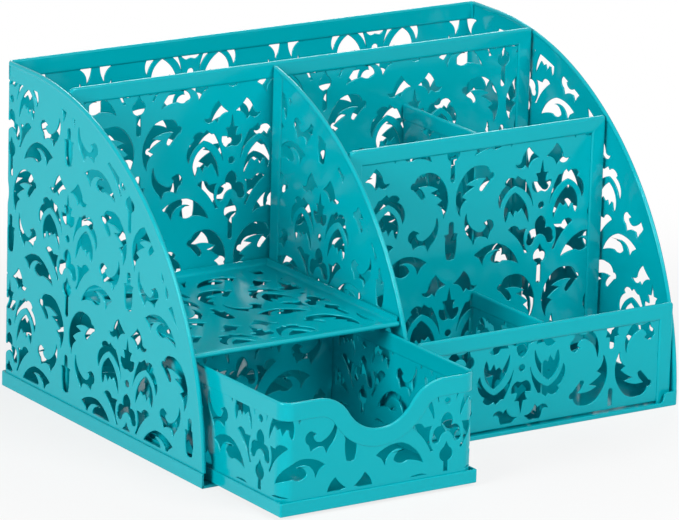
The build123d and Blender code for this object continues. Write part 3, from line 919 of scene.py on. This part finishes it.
shelf_depth = lip_high[1] - lip_low[1]
shelf_rails = paired([(lip_low[0], lip_low[1]), (lip_high[0], lip_low[1])],
                     [(lip_low[0], lip_high[1]), (lip_high[0], lip_high[1])], shelf_depth)
shelf_hem = sweep("shelf_hem", shelf_rails, stood(LEVEL, (0, 0, (lip_low[2] + lip_high[2]) / 2)))
finish_piece(shelf_hem, "body", "shelf_rim")

# %% Hem of the drawer
DRAWER_HEM_OUT = 0.6


def drawer_rails():
    """Rails along the drawer strip's scooped edge."""
    folds = fold_places(FACE_HALF, FOLD_LENGTH) + [STRIP_HALF]
    lines = []
    for inset in (0, DRAWER_HEM_HEIGHT):
        right = scoop_edge(inset) + [(u, DRAWER_TOP - inset) for u in folds]
        lines.append([(-u, v) for u, v in right[:0:-1]] + right)
    return paired(*lines, DRAWER_HEM_HEIGHT, DRAWER_HEM_OUT)


drawer_hem = sweep("drawer_strip_hem", drawer_rails(), drawer_rolled)
finish_piece(drawer_hem, "drawer", "drawer_front_rim", "drawer_left_rim", "drawer_right_rim")

# %% [markdown]
# ## Trays
#
# The walls stand in a shallow pressed tray with a lip outside them. The drawer has a tray of its own. A
# tray is a flat floor and a lip swept round it: the lip has a rounded top edge and a rounded foot. The
# base's lip is low at the right of the front and rises to a small ear round the front corner. At the
# drawer bay it is left out.

# %% Lips and floors
LIP_THICK = 0.88
LIP_HALF = LIP_THICK / 2
LIP_EDGE = 0.35
LIP_CHAMFER = 0.1
FLOOR_LIFT = 0.02


def corner_arc(x, y, radius, start, steps):
    """Quarter circle about a point, counter-clockwise from a start angle in degrees."""
    return [on_circle(x, y, radius, math.radians(start + 90 * i / steps)) for i in range(steps + 1)]


def corner_spots(low, high, radius):
    """Centre and start angle of a box's rounded corners, counter-clockwise from the right of the front."""
    left, front, right, back = low[0] + radius, low[1] + radius, high[0] - radius, high[1] - radius
    return [(right, front, -90), (right, back, 0), (left, back, 90), (left, front, 180)]


def lip_section(foot, top):
    """Section of a lip as (place across from its outside, height)."""
    turns = quarter_turn(EDGE_STEPS)
    under = [(LIP_EDGE - LIP_EDGE * math.sin(a), foot + LIP_EDGE - LIP_EDGE * math.cos(a)) for a in turns]
    over = [(LIP_EDGE - LIP_EDGE * math.cos(a), top - LIP_EDGE + LIP_EDGE * math.sin(a)) for a in turns]
    inner = [(LIP_THICK - LIP_CHAMFER, top), (LIP_THICK, top - LIP_CHAMFER)]
    return [(LIP_THICK, foot)] + under + over + inner


def tray(name, body, node, lip, closed, floor, foot, floor_top):
    """A tray from a lip, given counter-clockwise as (x, y, top), and the outline of its floor."""
    count = len(lip)
    rings = []
    for i, (x, y, top) in enumerate(lip):
        before = lip[(i - 1) % count] if closed or i else lip[i]
        after = lip[(i + 1) % count] if closed or i < count - 1 else lip[i]
        way = Vector((after[0] - before[0], after[1] - before[1])).normalized()
        rings.append([(x - way.y * t, y + way.x * t, z) for t, z in lip_section(foot, top)])
    points, faces = stack(rings)
    if closed:
        size = len(rings[0])
        last = len(points) - size
        faces = faces[2:] + [[last + i, last + (i + 1) % size, (i + 1) % size, i] for i in range(size)]
    levels = (foot + FLOOR_LIFT, floor_top)
    slab_points, slab_faces = stack([[(u, v, z) for u, v in counter_clockwise(floor)] for z in levels])
    faces += [[len(points) + i for i in face] for face in slab_faces]
    piece = mesh_object(name, points + slab_points, faces)
    with edited(piece) as mesh:
        bmesh.ops.recalc_face_normals(mesh, faces=mesh.faces)
    finish_piece(piece, body, node)


# %% Base tray
FRONT_LIP = 1.7
EAR = 6.5
BASE_CORNER_STEPS = 8
# Steps along the front from the ear's foot, with the lip's height at each.
EAR_RISE = ((-1.5, FRONT_LIP), (-0.7, FRONT_LIP + 0.9), (0.0, BASE_LIP - 0.7), (0.8, BASE_LIP))


def base_tray():
    """The base's tray, with no lip at the drawer bay."""
    left, right = base_low[0], base_high[0]
    bay_end = box_mm("front_panel_rim")[0][0]
    lip = [(bay_end, FRONT, FRONT_LIP)]
    lip += [(right - EAR + step, FRONT, top) for step, top in EAR_RISE]
    floor = [(left + LIP_HALF, FRONT), (bay_end, FRONT), (bay_end, FRONT + LIP_HALF)]
    for x, y, start in corner_spots(base_low, base_high, BASE_CORNER)[:3]:
        lip += [(u, v, BASE_LIP) for u, v in corner_arc(x, y, BASE_CORNER, start, BASE_CORNER_STEPS)]
        floor += corner_arc(x, y, BASE_CORNER - LIP_HALF, start, BASE_CORNER_STEPS)
    lip += [(left, FRONT, BASE_LIP)]
    tray("base_tray_pressed", "body", "base_tray", lip, False, floor, 0.0, BASE_PLATE)


base_tray()

# %% Drawer tray
TRAY_CORNER = 0.7
TRAY_CORNER_STEPS = 4


def drawer_tray():
    """The drawer's tray, with a lip all round."""
    lip = []
    for x, y, start in corner_spots(tray_low, tray_high, TRAY_CORNER):
        lip += [(u, v, tray_high[2]) for u, v in corner_arc(x, y, TRAY_CORNER, start, TRAY_CORNER_STEPS)]
    floor = rectangle(tray_low[0] + LIP_HALF, tray_low[1] + LIP_HALF,
                      tray_high[0] - LIP_HALF, tray_high[1] - LIP_HALF)
    tray("drawer_tray_pressed", "drawer", "drawer_tray", lip, True, floor, tray_low[2], DRAWER_FLOOR)


drawer_tray()

# %% [markdown]
# ## Camera, floor and light
#
# The camera stands where the photograph was taken from: to the left of the front and a little above, far
# away with a long lens. The world, and the floor further away, are white to the camera and in
# reflections. Near the object the floor is only partly so: it keeps the object's real shadow, and it is a
# little greyer all round the object, which is painted shade. Three soft lamps light the object at a plain
# level: one from the left, one from above the front, and a weaker one from behind, so that the back isn't
# dark. The camera and the lamps are placed in metres.

# %% Camera
AZIMUTH, ELEVATION, ROLL = math.radians(-33.72), math.radians(15.98), math.radians(1.61)
CAMERA_DISTANCE = 2.2473
CAMERA_TARGET = Vector((-0.02235, -0.03115, 0.06577))
FOCAL_PIXELS = 5876.9
PHOTO_WIDTH = 679
SENSOR = 36.0
FAR_CLIP = 50.0


def direction(azimuth, elevation):
    """Unit vector from the object to a place round it, with azimuth 0 at its front."""
    level = math.cos(elevation)
    return Vector((math.sin(azimuth) * level, -math.cos(azimuth) * level, math.sin(elevation)))


def photo_camera():
    """Camera at the photograph's viewpoint."""
    back = direction(AZIMUTH, ELEVATION)
    right = Vector((math.cos(AZIMUTH), math.sin(AZIMUTH), 0.0))
    up = back.cross(right)
    tilted_right = right * math.cos(ROLL) + up * math.sin(ROLL)
    tilted_up = up * math.cos(ROLL) - right * math.sin(ROLL)
    data = bpy.data.cameras.new("photo_camera")
    data.sensor_width = SENSOR
    data.lens = FOCAL_PIXELS / PHOTO_WIDTH * SENSOR
    data.clip_end = FAR_CLIP
    camera = linked("photo_camera", data)
    axes = Matrix((tilted_right, tilted_up, back)).transposed()
    camera.matrix_world = Matrix.Translation(CAMERA_TARGET + back * CAMERA_DISTANCE) @ axes.to_4x4()
    bpy.context.scene.camera = camera
    return camera


print("camera lens:", round(photo_camera().data.lens, 1), "mm")

# %% Floor and world
WHITE = (1.0, 1.0, 1.0, 1.0)
FLOOR_GREY = (0.8, 0.8, 0.8, 1.0)
FLOOR_HALF = 3000.0
PAINTED_SHADE_NEAR, PAINTED_SHADE_FAR = 0.14, 0.34
NEAR_SHARE = 0.8
SKY_STRENGTH = 0.03


def white_to_the_eye(tree, lit, kind, share):
    """White by a share to camera, mirror and glass rays, and lit to all other rays."""
    path = tree.nodes.new("ShaderNodeLightPath")
    camera, mirror, glass = (Socket(tree, path.outputs[f"Is {ray} Ray"])
                             for ray in ("Camera", "Glossy", "Transmission"))
    white = make(tree, kind, None, {0: WHITE, "Strength": 1.0})
    return make(tree, "ShaderNodeMixShader", None, {0: (camera + mirror + glass) * share, 1: lit, 2: white})


def pale_floor():
    """Wide pale floor: greyer near the object as painted shade, where it also shows the object's real
    shadow, and plain white further away.
    """
    corners = [(x, y, 0.0) for x, y in rectangle(-FLOOR_HALF, -FLOOR_HALF, FLOOR_HALF, FLOOR_HALF)]
    floor = mesh_object("floor", corners, [[0, 1, 2, 3]])
    material = bpy.data.materials.new("pale_floor")
    tree = empty_tree(material)
    lit = make(tree, "ShaderNodeBsdfDiffuse", None, {"Color": FLOOR_GREY})
    place = make(tree, "ShaderNodeTexCoord", output="Object")
    away = make(tree, "ShaderNodeVectorMath", {"operation": "LENGTH"}, {0: place}, output="Value")
    # The white share falls near the object, so the floor there is greyer: painted shade round the object,
    # with its real shadow in it.
    share = make(tree, "ShaderNodeMapRange", {"interpolation_type": "SMOOTHSTEP"}, {
        "Value": away, "From Min": PAINTED_SHADE_NEAR, "From Max": PAINTED_SHADE_FAR, "To Min": NEAR_SHARE, "To Max": 1.0})
    seen = white_to_the_eye(tree, lit, "ShaderNodeEmission", share)
    make(tree, "ShaderNodeOutputMaterial", None, {"Surface": seen})
    floor.data.materials.append(material)
    print("floor", round(2 * FLOOR_HALF * MM, 1), "m wide")


def studio_sky():
    """Even, faint white light from all round."""
    world = bpy.data.worlds.new("studio")
    bpy.context.scene.world = world
    tree = empty_tree(world)
    lit = make(tree, "ShaderNodeBackground", None, {0: WHITE, "Strength": SKY_STRENGTH})
    seen = white_to_the_eye(tree, lit, "ShaderNodeBackground", 1.0)
    make(tree, "ShaderNodeOutputWorld", None, {"Surface": seen})
    print("world:", world.name)


pale_floor()
studio_sky()

# %% Lamps
LAMP_SIZE = 0.6


def soft_box(name, azimuth, elevation, distance, power):
    """Square lamp that looks at the object, at angles in degrees and a distance in metres."""
    data = bpy.data.lights.new(name, "AREA")
    data.size = LAMP_SIZE
    data.energy = power
    lamp = linked(name, data)
    back = direction(math.radians(azimuth), math.radians(elevation))
    turn = back.to_track_quat("Z", "Y").to_matrix().to_4x4()
    lamp.matrix_world = Matrix.Translation(back * distance) @ turn
    print(name, power, "W")


soft_box("left_soft_box", azimuth=-78, elevation=22, distance=1.6, power=18.6)
soft_box("front_soft_box", azimuth=13, elevation=42, distance=1.2, power=9.8)
soft_box("back_soft_box", azimuth=140, elevation=35, distance=1.8, power=9.0)
bpy.context.scene.view_settings.view_transform = "Standard"
